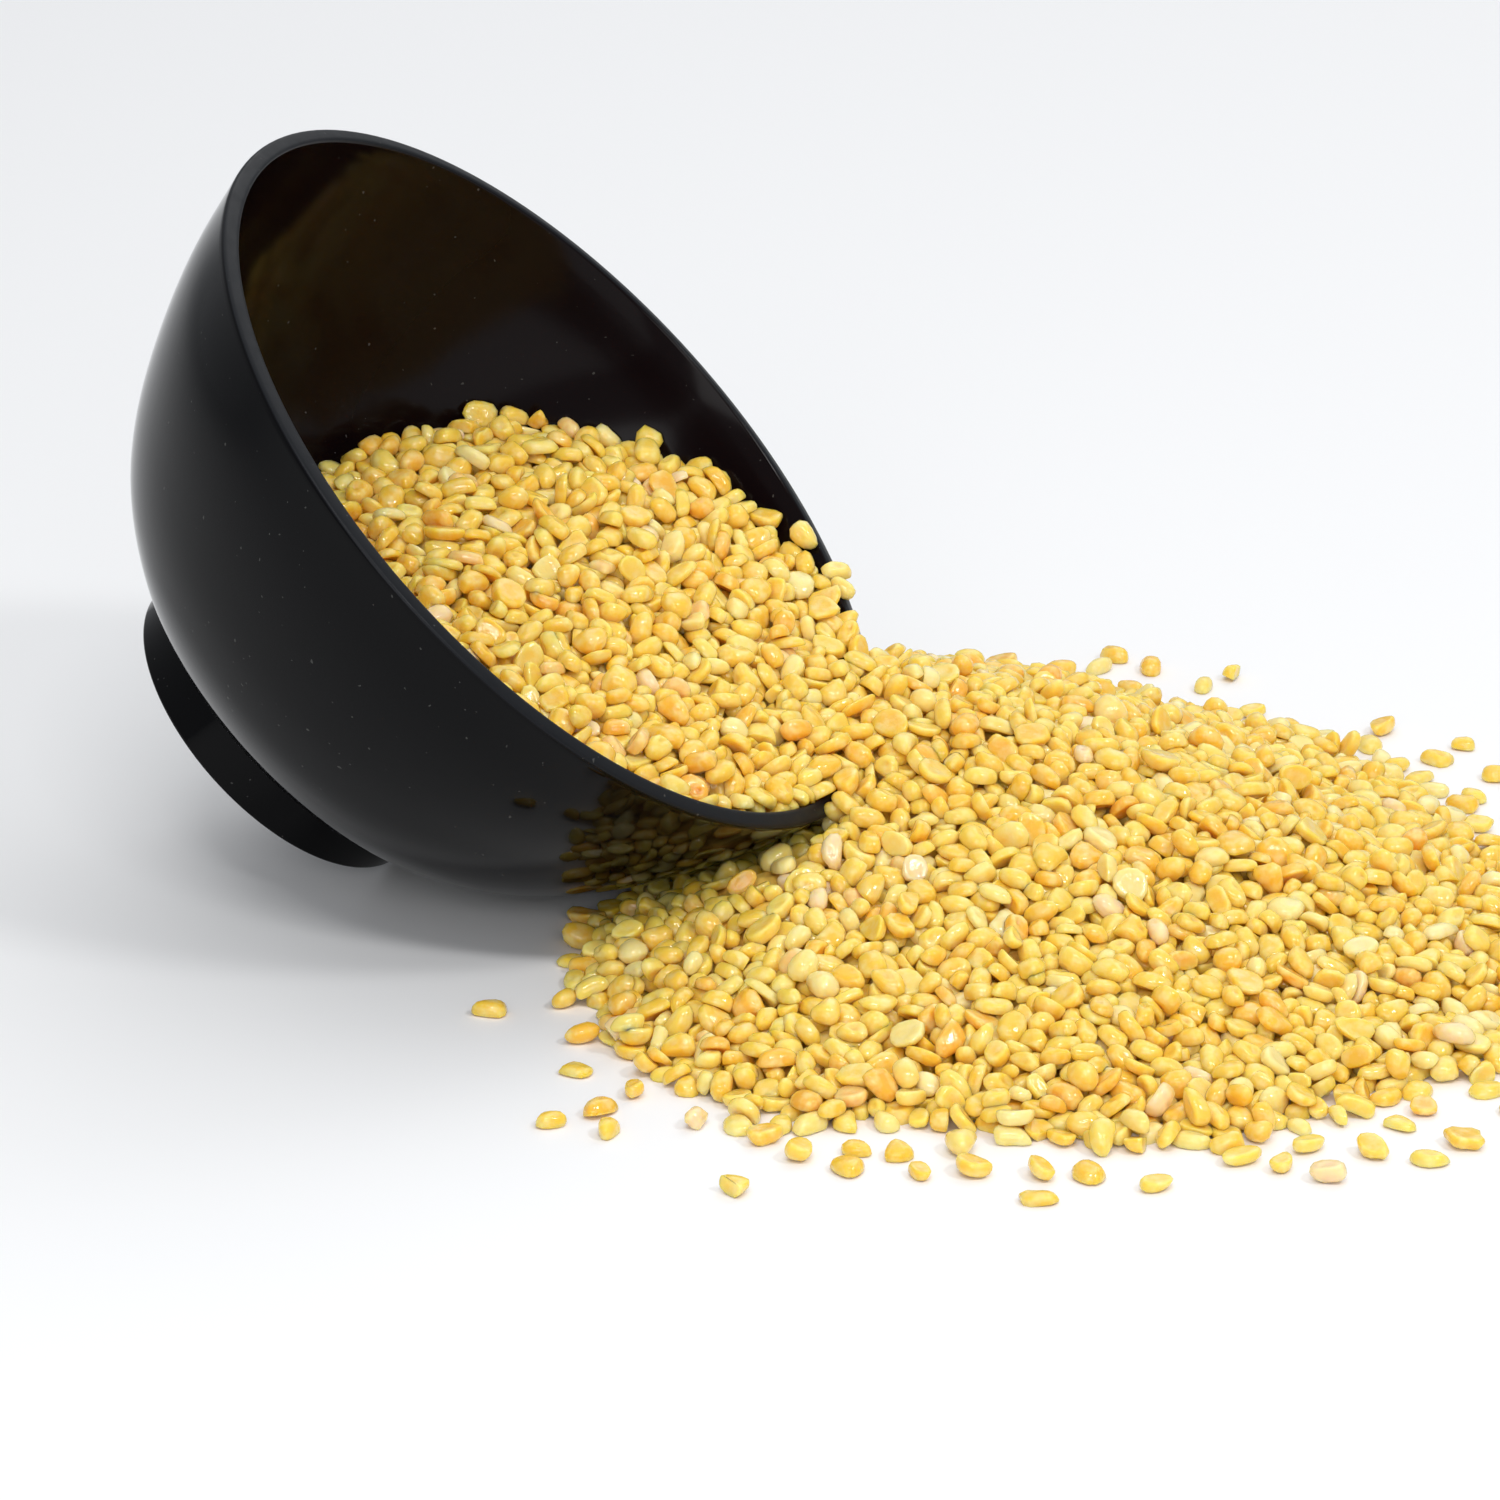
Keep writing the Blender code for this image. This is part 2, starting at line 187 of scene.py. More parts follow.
# How fine each pattern of a finish is
RUBS, CLOUDS, SPECKS = 420.0, 38.0, 1500.0
# LUMPS also sets where the core's painted shade turns lemon
PATCHES, WARMTH, GRAIN, LUMPS = 620.0, 430.0, 1500.0, 260.0
DUST = (0.16, 0.16, 0.15)

# Each light's name, place, the point it faces, size and power
LIGHTS = (
    ("front_strip", (-0.08, -0.60, 0.93), (0, 0, 0), (0.5, 0.08), 3.2),
    ("front_fill", (-0.1, -1.15, 0.55), (0, 0, 0), (1.0, 0.5), 4.0),
    ("right_softbox", (0.55, -0.42, 0.80), (0, 0, 0), (0.16, 0.12), 2.4),
    ("top_softbox", (0.0, 0.30, 1.05), (0, 0, 0), (1.2, 0.9), 2.6),
    ("back_softbox", (0.30, 0.95, 0.80), (0, 0.55, 0), (1.2, 0.6), 2.8),
)
SKY_STRENGTH = 0.44
SKY_COLOUR = (0.92, 0.95, 1.0, 1.0)
FLOOR_REACH = 6.0
FLOOR_LEVEL = -0.05 * MM

MOST_TRIANGLES = 190_000
BAKE_MAP = "OFBake"


def linear(red, green, blue):
    """A colour as seen on a screen, 0 to 255, as the values that light is worked out with."""
    shares = (red / 255, green / 255, blue / 255)
    return tuple(s / 12.92 if s <= 0.04045 else ((s + 0.055) / 1.055) ** 2.4 for s in shares)


class BowlSettings(bpy.types.PropertyGroup):
    height: FloatProperty(
        name="Height", description="From the foot to the rim", default=58.7 * MM,
        unit="LENGTH", precision=4)
    wall: FloatProperty(
        name="Wall", description="Thickness of the wall", default=2.6 * MM,
        unit="LENGTH", precision=4)
    foot_radius: FloatProperty(
        name="Foot radius", description="Outside of the foot ring", default=25.1 * MM,
        unit="LENGTH", precision=4)
    foot_height: FloatProperty(
        name="Foot height", description="Height of the foot ring", default=7.1 * MM,
        unit="LENGTH", precision=4)
    floor: FloatProperty(
        name="Floor", description="Thickness of the bottom", default=3.4 * MM,
        unit="LENGTH", precision=4)
    recess_radius: FloatProperty(
        name="Recess radius", description="Inside of the foot ring", default=21.0 * MM,
        unit="LENGTH", precision=4)
    recess_depth: FloatProperty(
        name="Recess depth", description="Hollow under the foot", default=3.0 * MM,
        unit="LENGTH", precision=4)
    lean: FloatProperty(
        name="Lean", description="Lean of the bowl's axis", default=math.radians(45.1),
        subtype="ANGLE")
    heading: FloatProperty(
        name="Heading", description="Way the bowl leans", default=math.radians(-15.95),
        subtype="ANGLE")
    colour: FloatVectorProperty(
        name="Colour", description="Glossy black of the wall", default=(0.0018, 0.0018, 0.0022),
        subtype="COLOR", size=3, min=0.0, max=1.0)
    # Partly painted sheen: the rim's own satin black, lightened to stand in for the sheen on its
    # satin face
    rim_colour: FloatVectorProperty(
        name="Rim colour", description="Satin grey black of the rim",
        default=(0.010, 0.011, 0.013), subtype="COLOR", size=3, min=0.0, max=1.0)
    gloss: FloatProperty(
        name="Roughness", description="Roughness of the wall", default=0.06, min=0.0, max=1.0)
    inside_gloss: FloatProperty(
        name="Inside roughness", description="Roughness of the inside", default=0.13,
        min=0.0, max=1.0)
    # Painted reflection: the inside's black is tinted warm to stand in for the beans reflected in
    # it
    inside_colour: FloatVectorProperty(
        name="Inside colour", description="Warm black of the inside",
        default=(0.0044, 0.0021, 0.0024), subtype="COLOR", size=3, min=0.0, max=1.0)
    rim_gloss: FloatProperty(
        name="Rim roughness", description="Roughness of the rim", default=0.36,
        min=0.0, max=1.0)


class BeanSettings(bpy.types.PropertyGroup):
    length: FloatProperty(
        name="Length", description="Length of a usual bean", default=4.65 * MM,
        unit="LENGTH", precision=4)
    roundness: FloatProperty(
        name="Length to width", description="Length of a usual bean over its width",
        default=1.5, min=1.0, max=2.0)
    thickness: FloatProperty(
        name="Thickness", description="Thickness of a usual split bean", default=1.9 * MM,
        unit="LENGTH", precision=4)
    seed: IntProperty(
        name="Seed", description="Seed of the draw of sizes, places and tones", default=7)
    cream: FloatVectorProperty(
        name="Cream", description="Palest beans", default=linear(253, 227, 166),
        subtype="COLOR", size=3, min=0.0, max=1.0)
    lemon: FloatVectorProperty(
        name="Lemon", description="Light yellow beans", default=linear(253, 213, 101),
        subtype="COLOR", size=3, min=0.0, max=1.0)
    golden: FloatVectorProperty(
        name="Golden", description="Usual beans", default=linear(251, 202, 81),
        subtype="COLOR", size=3, min=0.0, max=1.0)
    amber: FloatVectorProperty(
        name="Amber", description="Deep yellow beans", default=linear(250, 193, 65),
        subtype="COLOR", size=3, min=0.0, max=1.0)
    orange: FloatVectorProperty(
        name="Orange", description="Darkest beans", default=linear(248, 181, 73),
        subtype="COLOR", size=3, min=0.0, max=1.0)
    blush: FloatVectorProperty(
        name="Blush", description="Few pinkish beans", default=linear(250, 213, 168),
        subtype="COLOR", size=3, min=0.0, max=1.0)
    whole_share: FloatProperty(
        name="Whole beans", description="Share of beans that aren't split", default=0.06,
        min=0.0, max=1.0)
    broken_share: FloatProperty(
        name="Broken beans", description="Share of beans that are broken", default=0.09,
        min=0.0, max=1.0)


class StageSettings(bpy.types.PropertyGroup):
    elevation: FloatProperty(
        name="Elevation", description="Camera's height above the horizon",
        default=math.radians(21.15), subtype="ANGLE")
    distance: FloatProperty(
        name="Distance", description="From the camera to the point it looks at",
        default=1.063, unit="LENGTH")
    lens: FloatProperty(
        name="Lens", description="Focal length in millimetres", default=180.0)
    aim: FloatVectorProperty(
        name="Aim", description="Point looked at, from the ground under the bowl's foot",
        default=(66.4 * MM, 4.6 * MM, 11.9 * MM), subtype="TRANSLATION", size=3)
    floor_colour: FloatVectorProperty(
        name="Floor colour", description="Pale floor", default=(0.90, 0.90, 0.90),
        subtype="COLOR", size=3, min=0.0, max=1.0)


def smooth_curve(points):
    """Return a smooth function through the points that never overshoots them."""
    xs = [point[0] for point in points]
    ys = [point[1] for point in points]
    steps = [b - a for a, b in zip(xs, xs[1:])]
    rises = [(b - a) / step for a, b, step in zip(ys, ys[1:], steps)]
    slopes = [rises[0] * 1.5 - rises[1] * 0.5]
    for before, after in zip(rises, rises[1:]):
        slopes.append(2.0 * before * after / (before + after) if before * after > 0 else 0.0)
    slopes.append(rises[-1])

    def value(x):
        at = max(i for i in range(len(steps)) if i == 0 or xs[i] <= x)
        t = (x - xs[at]) / steps[at]
        bend = steps[at] * (slopes[at] * (1 - t) - slopes[at + 1] * t)
        return ys[at] + (ys[at + 1] - ys[at]) * t * t * (3 - 2 * t) + t * (1 - t) * bend

    return value


BODY_RADIUS = smooth_curve(BODY)


def body_point(bowl, share, depth):
    """A point of the wall's section, at a depth into the wall."""
    height = bowl.height - bowl.wall / 2 - bowl.foot_height
    low, high = max(share - BODY_NEAR, 0.0), min(share + BODY_NEAR, 1.0)
    widening = (BODY_RADIUS(high) - BODY_RADIUS(low)) * MM
    along = Vector((widening, (high - low) * height)).normalized()
    inward = Vector((-along.y, along.x))
    place = Vector((BODY_RADIUS(share) * MM, bowl.foot_height + share * height))
    return place + inward * depth


def rounded(corner, before, after, radius):
    """An arc that takes the place of a corner between two straight runs."""
    corner, before, after = Vector(corner), Vector(before), Vector(after)
    start = corner + (before - corner).normalized() * radius
    end = corner + (after - corner).normalized() * radius
    points = []
    for step in range(EDGE_STEPS + 1):
        t = step / EDGE_STEPS
        points.append(start * (1 - t) ** 2 + corner * 2 * t * (1 - t) + end * t * t)
    return points


def bowl_section(bowl):
    """Half the bowl's section from the axis below to the axis inside, and each point's finish.

    The finish is 0 outside, 1 on the rim and 2 inside.
    """
    foot, recess = bowl.foot_radius, bowl.recess_radius
    shares = [(i / BODY_STEPS) ** BODY_CROWDING for i in range(BODY_STEPS + 1)]
    under = (recess - bowl.recess_depth / 3, bowl.recess_depth)
    wall_start = body_point(bowl, 0.0, 0.0)
    section = [Vector((0.0, bowl.recess_depth))]
    section += rounded(under, section[0], (recess, 0.0), RECESS_FILLET)
    section += rounded((recess, 0.0), under, (foot, 0.0), FOOT_INNER_FILLET)
    section += rounded((foot, 0.0), (recess, 0.0), wall_start, FOOT_OUTER_FILLET)
    waist_end = body_point(bowl, WAIST_SHARE, 0.0)
    section += rounded(wall_start, (foot, 0.0), waist_end, WAIST_FILLET)
    section += [body_point(bowl, share, 0.0) for share in shares if share > BODY_START]
    outer, inner = section[-1], body_point(bowl, 1.0, bowl.wall)
    arm = (outer - inner) / 2
    rise = Vector((-arm.y, arm.x))
    lip = rounded(outer + rise, outer, inner + rise, LIP_FILLET)
    finish = [0.0] * (len(section) + EDGE_STEPS // 2)
    lip += rounded(inner + rise, outer + rise, inner, LIP_FILLET)
    section += lip
    finish += [1.0] * (len(lip) - 2 * (EDGE_STEPS // 2))
    floor = bowl.foot_height + bowl.floor
    inside = [body_point(bowl, share, bowl.wall) for share in reversed(shares)]
    inside = [point for point in inside[1:] if point.y > floor + bowl.wall / 2]
    last = inside[-1]
    section += inside
    corner = (last.x * FLOOR_SHARE, floor)
    section += rounded(corner, last, (0.0, floor), last.x * FLOOR_FILLET_SHARE)
    section.append(Vector((0.0, floor)))
    finish += [2.0] * (len(section) - len(finish))
    return section, finish


def without_doubles(section, finish):
    """Leave out points of the section that lie on the one before."""
    kept = [(section[0], finish[0])]
    for point, value in zip(section[1:], finish[1:]):
        if (point - kept[-1][0]).length > SAME_POINT:
            kept.append((point, value))
    return [point for point, _ in kept], [value for _, value in kept]


def bowl_pose(bowl, section):
    """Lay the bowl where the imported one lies, by the middle of its box and its lowest point."""
    lean = Euler((0.0, bowl.lean, bowl.heading)).to_matrix()
    axis = lean.col[2]
    low, high = [], []
    for i in range(3):
        side = math.sqrt(max(1.0 - axis[i] ** 2, 0.0))
        low.append(min(point.y * axis[i] - point.x * side for point in section))
        high.append(max(point.y * axis[i] + point.x * side for point in section))
    place = (BOWL_LOW + BOWL_HIGH) / 2 - (Vector(low) + Vector(high)) / 2
    place.z = BOWL_LOW.z - low[2]
    return Matrix.LocRotScale(place, lean.to_quaternion(), None)


def turned_mesh(name, section, finish, pose, steps):
    """Turn a section round its axis as one closed mesh, laid at a pose."""
    bm = bmesh.new()
    rim = bm.verts.layers.float.new("rim")
    inside = bm.verts.layers.float.new("inside")
    ends = [bm.verts.new((0.0, 0.0, point.y)) for point in (section[0], section[-1])]
    ends[1][inside] = 1.0
    rings = []
    for step in range(steps):
        angle = 2 * math.pi * step / steps
        ring = []
        for point, value in zip(section[1:-1], finish[1:-1]):
            vert = bm.verts.new((point.x * math.cos(angle), point.x * math.sin(angle), point.y))
            vert[rim] = float(value == 1.0)
            vert[inside] = float(value == 2.0)
            ring.append(vert)
        rings.append(ring)
    for one, two in zip(rings, rings[1:] + rings[:1]):
        bm.faces.new((ends[0], two[0], one[0]))
        bm.faces.new((ends[1], one[-1], two[-1]))
        for i in range(len(one) - 1):
            bm.faces.new((one[i], two[i], two[i + 1], one[i + 1]))
    bmesh.ops.recalc_face_normals(bm, faces=bm.faces)
    bm.transform(pose)
    mesh = bpy.data.meshes.new(name)
    bm.to_mesh(mesh)
    bm.free()
    mesh.shade_smooth()
    return mesh


def add_piece(name, mesh, node, look):
    """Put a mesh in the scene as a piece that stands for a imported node."""
    piece = bpy.data.objects.new(name, mesh)
    bpy.context.scene.collection.objects.link(piece)
    mesh.materials.clear()
    mesh.materials.append(look)
    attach(piece, "root")
    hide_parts(node)


class Nodes:
    """Adds and joins the nodes of one material."""

    def __init__(self, name):
        self.material = bpy.data.materials.new(name)
        self.material.use_nodes = True
        self.tree = self.material.node_tree
        self.shader = self.tree.nodes["Principled BSDF"]

    def add(self, kind, **values):
        node = self.tree.nodes.new(kind)
        for key, value in values.items():
            if key in node.inputs:
                node.inputs[key].default_value = value
            else:
                setattr(node, key, value)
        return node

    def join(self, output, target):
        self.tree.links.new(output, target)

    def noise(self, scale, detail=3.0):
        place = self.add("ShaderNodeTexCoord")
        noise = self.add("ShaderNodeTexNoise", Scale=scale, Detail=detail)
        self.join(place.outputs["Object"], noise.inputs["Vector"])
        return noise.outputs["Fac"]

    def remap(self, value, low, high, new_low, new_high):
        node = self.add("ShaderNodeMapRange")
        for socket, number in zip(("From Min", "From Max", "To Min", "To Max"),
                                  (low, high, new_low, new_high)):
            node.inputs[socket].default_value = number
        self.join(value, node.inputs["Value"])
        return node.outputs["Result"]

    def blend(self, share, first, second, kind="MIX"):
        node = self.add("ShaderNodeMix", data_type="RGBA", blend_type=kind)
        for socket, value in ((node.inputs[0], share), (node.inputs[6], first),
                              (node.inputs[7], second)):
            if isinstance(value, bpy.types.NodeSocket):
                self.join(value, socket)
            else:
                socket.default_value = (*value, 1.0) if hasattr(value, "__len__") else value
        return node.outputs[2]

    def mix(self, share, first, second):
        node = self.add("ShaderNodeMix", data_type="FLOAT")
        for socket, value in zip((node.inputs[0], node.inputs[2], node.inputs[3]),
                                 (share, first, second)):
            if isinstance(value, bpy.types.NodeSocket):
                self.join(value, socket)
            else:
                socket.default_value = value
        return node.outputs[0]

    def bump(self, height, distance, strength):
        node = self.add("ShaderNodeBump", Distance=distance, Strength=strength)
        self.join(height, node.inputs["Height"])
        self.join(node.outputs["Normal"], self.shader.inputs["Normal"])

    def constants(self, **values):
        for key, value in values.items():
            self.shader.inputs[key.replace("_", " ")].default_value = value


def black_plastic(bowl):
    """Glossy moulded black with a satin rim, faint rubs and a few specks of dust. The rim's black
    is lightened partly as painted sheen, and the inside is tinted warm as a painted reflection of
    the beans.
    """
    nodes = Nodes("black_plastic")
    rim = nodes.add("ShaderNodeAttribute", attribute_name="rim").outputs["Fac"]
    inside = nodes.add("ShaderNodeAttribute", attribute_name="inside").outputs["Fac"]
    rubs = nodes.noise(RUBS, 4.0)
    clouds = nodes.noise(CLOUDS, 2.0)
    specks = nodes.remap(nodes.noise(SPECKS, 0.0), 0.84, 0.86, 0.0, 0.3)
    # Painted reflection: the inside's black is tinted warm, as the beans would show in it
    body = nodes.blend(inside, tuple(bowl.colour), tuple(bowl.inside_colour))
    # Partly painted sheen: the rim gets its own satin black, lightened in place of its sheen
    edged = nodes.blend(rim, body, tuple(bowl.rim_colour))
    dusty = nodes.blend(specks, edged, DUST)
    nodes.join(dusty, nodes.shader.inputs["Base Color"])
    wall = nodes.remap(clouds, 0.3, 0.7, bowl.gloss - 0.02, bowl.gloss + 0.03)
    edge = nodes.remap(rubs, 0.3, 0.7, bowl.rim_gloss - 0.05, bowl.rim_gloss + 0.07)
    rough = nodes.mix(rim, nodes.mix(inside, wall, bowl.inside_gloss), edge)
    nodes.join(rough, nodes.shader.inputs["Roughness"])
    nodes.bump(rubs, 0.02 * MM, 0.25)
    nodes.constants(IOR=1.45, Specular_IOR_Level=0.12)
    return nodes.material


def bean_skin(beans):
    """Waxy bean: its tone from the mesh, which holds some painted light and shade, paler and
    deeper patches, a fine grain.
    """
    nodes = Nodes("bean_skin")
    tone = nodes.add("ShaderNodeAttribute", attribute_name="tone")
    ramp = nodes.add("ShaderNodeValToRGB")
    colours = (beans.cream, beans.lemon, beans.golden, beans.amber, beans.orange, beans.blush)
    while len(ramp.color_ramp.elements) < len(colours):
        ramp.color_ramp.elements.new(0.5)
    for element, place, colour in zip(ramp.color_ramp.elements, TONE_STOPS, colours):
        element.position = place
        element.color = (*colour, 1.0)
    nodes.join(tone.outputs["Fac"], ramp.inputs["Fac"])
    patches = nodes.remap(nodes.noise(PATCHES, 2.0), 0.42, 0.70, 0.0, 0.55)
    patched = nodes.blend(patches, ramp.outputs["Color"], tuple(beans.cream))
    warm = nodes.remap(nodes.noise(WARMTH, 1.0), 0.52, 0.74, 0.0, 0.40)
    warmed = nodes.blend(warm, patched, tuple(beans.amber))
    nodes.join(warmed, nodes.shader.inputs["Base Color"])
    grain = nodes.noise(GRAIN, 3.0)
    nodes.join(nodes.remap(grain, 0.3, 0.7, 0.08, 0.22), nodes.shader.inputs["Roughness"])
    nodes.bump(grain, 0.09 * MM, 0.6)
    nodes.constants(IOR=1.55, Subsurface_Weight=1.0, Subsurface_Scale=2.1 * MM)
    nodes.shader.inputs["Subsurface Radius"].default_value = (1.0, 0.88, 0.36)
    return nodes.material


def core_skin(beans):
    """Painted shade: a darkened yellow that turns lemon where the lumps rise, for the little that
    shows between the lowest beans.
    """
    nodes = Nodes("bean_core")
    lumps = nodes.noise(LUMPS, 2.0)
    shade = nodes.remap(lumps, 0.40, 0.60, 0.0, 1.0)
    # Painted shade: the core's yellow is darkened to look like beans lying in shadow
    painted_shade_colour = tuple(channel * 0.6 for channel in beans.golden)
    nodes.join(nodes.blend(shade, painted_shade_colour, tuple(beans.lemon)), nodes.shader.inputs["Base Color"])
    nodes.bump(lumps, 1.0 * MM, 1.0)
    nodes.constants(Roughness=0.5)
    return nodes.material


def surface_of(mesh, scale):
    """A mesh as a surface that rays can be cast at."""
    points = [vert.co * scale for vert in mesh.vertices]
    return BVHTree.FromPolygons(points, [tuple(face.vertices) for face in mesh.polygons])


def lowered_core(node):
    """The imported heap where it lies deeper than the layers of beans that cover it."""
    things = [bpy.data.objects.new("core", node.data.copy())]
    for shift in CORE_SHIFTS:
        moved = bpy.data.objects.new("moved", node.data.copy())
        moved.data.transform(Matrix.Translation(Vector(shift) * MM))
        things.append(moved)
        cut = things[0].modifiers.new("kept", "BOOLEAN")
        cut.operation = "INTERSECT"
        cut.solver = "EXACT"
        cut.object = moved
    for thing in things:
        bpy.context.scene.collection.objects.link(thing)
    depsgraph = bpy.context.evaluated_depsgraph_get()
    mesh = bpy.data.meshes.new_from_object(things[0].evaluated_get(depsgraph))
    for thing in things:
        bpy.data.objects.remove(thing, do_unlink=True)
    mesh.name = "bean_core"
    return largest_body(mesh)


def largest_body(mesh):
    """Drop scraps that the cut has left loose."""
    bm = bmesh.new()
    bm.from_mesh(mesh)
    left = set(bm.faces)
    bodies = []
    while left:
        body, edge = [], [left.pop()]
        while edge:
            face = edge.pop()
            body.append(face)
            near = {other for side in face.edges for other in side.link_faces} & left
            left -= near
            edge.extend(near)
        bodies.append(body)
    bodies.sort(key=len, reverse=True)
    bmesh.ops.delete(bm, geom=[face for body in bodies[1:] for face in body], context="FACES")
    bm.to_mesh(mesh)
    bm.free()
    return mesh


def spans(heap, x, y):
    """The heap's stretches over a place, from the top down, as (top, bottom) in mm."""
    heights = []
    start = Vector((x, y, HEAP_HIGH.z / MM + ABOVE_HEAP))
    while True:
        place, *_ = heap.ray_cast(start, Vector((0.0, 0.0, -1.0)))
        if place is None:
            break
        heights.append(place.z)
        start = place - Vector((0.0, 0.0, PAST_FACE))
    return list(zip(heights[0::2], heights[1::2]))


def lattice(low, high, spacing):
    """Evenly spread places in a box, each row moved over by half a step."""
    rows = int((high.y - low.y) / spacing / math.sqrt(0.75)) + 2
    columns = int((high.x - low.x) / spacing) + 2
    for row in range(rows):
        for column in range(columns):
            x = low.x + (column + 0.5 * (row % 2)) * spacing
            yield x, low.y + row * spacing * math.sqrt(0.75)


def height_under(surface, x, y, top, bottom):
    """The highest place of a surface within a stretch, or the stretch's bottom."""
    start = Vector((x, y, top + ABOVE_FACE))
    place, *_ = surface.ray_cast(start, Vector((0.0, 0.0, -1.0)), top - bottom)
    return bottom if place is None else place.z


def below_rim(places):
    """How far below the bowl's rim each place within it lies, in mm, and 0 outside it."""
    bowl = bpy.context.scene.mung_bowl
    section, _ = bowl_section(bowl)
    inverse = np.array(bowl_pose(bowl, section).inverted())
    local = places * MM @ inverse[:3, :3].T + inverse[:3, 3]
    radius = np.hypot(local[:, 0], local[:, 1])
    within = (radius < BODY[-1][1] * MM) & (radius < CONE_FOOT + local[:, 2] * CONE_SLOPE)
    below = np.where(local[:, 2] > bowl.foot_height, bowl.height - local[:, 2], 0.0)
    return np.where(within, np.maximum(below, 0.0), 0.0) / MM


def layered_places(heap, core, wall, rng):
    """Places for the beans of the heap, a few layers deep, in mm."""
    places = []
    for x, y in lattice(HEAP_LOW / MM, HEAP_HIGH / MM, LAYER_SPACING):
        for top, bottom in spans(heap, x, y):
            base = height_under(core, x, y, top, bottom)
            layers, drop = layers_over(x, y, base, top, wall)
            for layer in range(layers):
                jitter = rng.uniform(-LAYER_JITTER, LAYER_JITTER, 2) * LAYER_SPACING
                shift = LAYER_SPACING / 3 * (layer % 3)
                places.append((x + jitter[0] + shift, y + jitter[1] + shift / 2,
                               base + LAYER_START + drop * layer))
    return places


def layers_over(x, y, base, top, wall):
    """How many layers a place gets between the core and the heap's top, and how far apart."""
    below = below_rim(np.array([(x, y, top)]))[0]
    more = RAISED * min(max((below - RAISED_FROM) / RAISED_OVER, 0.0), 1.0)
    layers = max(1, round((top - base + LAYER_SLACK) / LAYER_PACKED))
    layers = min(LAYERS, layers) + round(more / LAYER_PACKED)
    drop = LAYER_DROP
    start = Vector((x, y, base + LAYER_SLACK))
    above = wall.ray_cast(start, Vector((0.0, 0.0, 1.0)), OVERHANG_REACH)[0]
    if above is None or above.z >= base + drop * layers + OVERHANG_ROOM:
        return layers, drop
    return max(int((above.z - base - LAYER_SLACK) / CROWDED_LAYER), 0), CROWDED_LAYER


def heap_mesh():
    """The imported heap's mesh."""
    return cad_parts["lentils"].data


def heap_foot(mesh):
    """How far left the heap lies on the ground, in mm."""
    return min(vertex.co.x for vertex in mesh.vertices if vertex.co.z < 1.0 * MM) / MM


def stray_places(heap, wall, rng):
    """Places on the ground beside the heap, fewer further out, in mm."""
    low = PART_LOW / MM - Vector((BOX_MARGIN, BOX_MARGIN, 0.0))
    high = PART_HIGH / MM + Vector((BOX_MARGIN, BOX_MARGIN, 0.0))
    low.x = heap_foot(heap_mesh()) - STRAY_LEFT
    places = []
    for _ in range(STRAY_TRIES):
        x, y = rng.uniform(low.x, high.x), rng.uniform(low.y, high.y)
        place = Vector((x, y, STRAY_HEIGHT))
        chance = rng.uniform(0.0, 1.0)
        if spans(heap, place.x, place.y):
            continue
        away = heap.find_nearest(place)[3]
        if away < STRAY_FROM_HEAP or away > STRAY_REACH:
            continue
        if wall.find_nearest(place)[3] < STRAY_FROM_BOWL:
            continue
        if chance > STRAY_CHANCE * math.exp(-away / STRAY_FADE):
            continue
        if places and min((place - other).length for other in places) < STRAY_APART:
            continue
        places.append(place)
    return [tuple(place) for place in places]


def spread(rng, middle, limits, count):
    """Draw values round a middle, with their usual difference, least and most."""
    difference, least, most = limits
    return np.clip(rng.normal(middle, difference, count), least, most)


def draw_beans(beans, count, rng):
    """Draw each bean's kind, size and shape. Sizes are halves, in mm."""
    length = spread(rng, 1.0, LENGTHS, count) * beans.length / MM
    ratio = spread(rng, beans.roundness, RATIOS, count)
    thickness = spread(rng, 1.0, THICKNESSES, count) * beans.thickness / MM
    chance = rng.uniform(0.0, 1.0, count)
    kind = np.full(count, "split", dtype="<U6")
    kind[chance < beans.broken_share] = "broken"
    kind[chance > 1.0 - beans.whole_share] = "whole"
    whole = kind == "whole"
    length[whole] *= WHOLE_LENGTH
    ratio[whole] = np.clip(ratio[whole] * WHOLE_RATIO, *WHOLE_RATIO_LIMITS)
    half = np.stack([length / 2, length / ratio / 2, thickness / THICKNESS_TO_CROWN], 1)
    half[whole, 2] = half[whole, 1] * rng.uniform(*WHOLE_DEPTHS, whole.sum())
    return {
        "kind": kind,
        "half": half,
        "square": rng.uniform(*SQUARENESS, count),
        "taper": rng.normal(0.0, TAPER, count),
        "bend": rng.normal(0.0, BEND, count),
        "skew": rng.normal(0.0, SKEW, (count, 2)),
        "wave": rng.normal(0.0, WAVE, (count, 3)),
        "turns": rng.uniform(0.0, 2 * math.pi, (count, 3)),
        "dimple": rng.uniform(*DIMPLE_PLACES, (count, 2)),
        "dimple_depth": np.maximum(rng.normal(*DIMPLE_DEPTHS, count), DIMPLE_BULGE),
        "twist": rng.normal(0.0, TWIST, count),
        "cut": rng.uniform(*CUTS, count),
        "cut_lean": rng.normal(0.0, CUT_LEAN, count),
        "hollow": rng.uniform(*HOLLOWS, count),
    }


